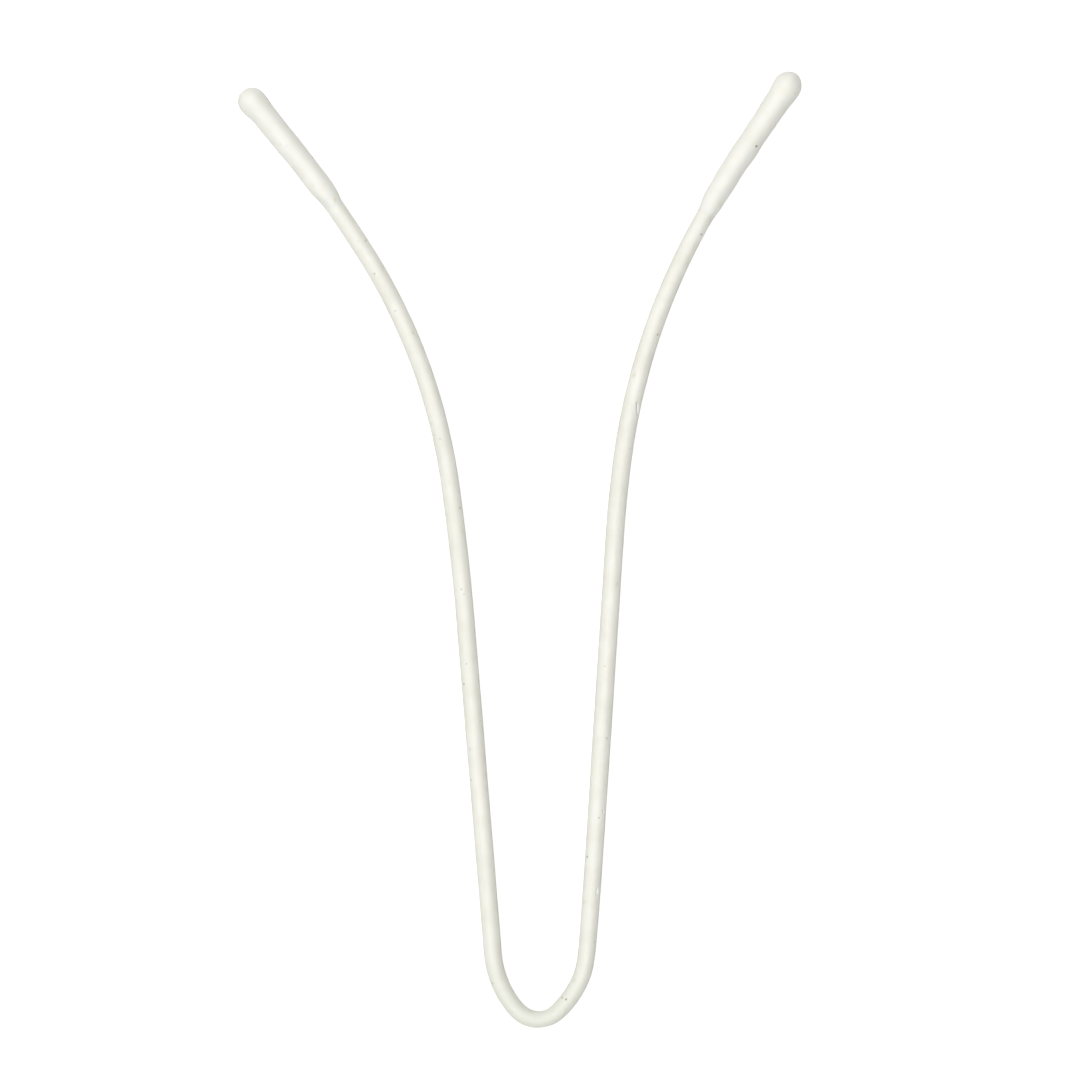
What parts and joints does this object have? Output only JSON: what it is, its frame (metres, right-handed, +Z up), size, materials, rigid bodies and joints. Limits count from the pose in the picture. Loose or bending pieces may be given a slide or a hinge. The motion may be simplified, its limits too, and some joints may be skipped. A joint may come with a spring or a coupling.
{
  "type": "cable needle",
  "caption": "V-shaped cable needle of nylon-coated spring wire with flared legs and thick blunt dipped tips; holds stitches between its legs.",
  "frame": {"origin": "on the table, at the centre of the footprint, with the needle lying on its bend and both tips", "axes": "+X to the right leg, +Y from the bend to the open end, +Z up from the table"},
  "size_m": [0.068, 0.1152, 0.0035],
  "materials": {
    "spring_steel": "drawn",
    "nylon_jacket": "satin, ivory",
    "dipped_tip": "satin, ivory, dipped"
  },
  "bodies": {
    "root": {"core_wire": "spring_steel", "wire_coating": "nylon_jacket", "left_tip": "dipped_tip", "right_tip": "dipped_tip"}
  },
  "joints": []
}
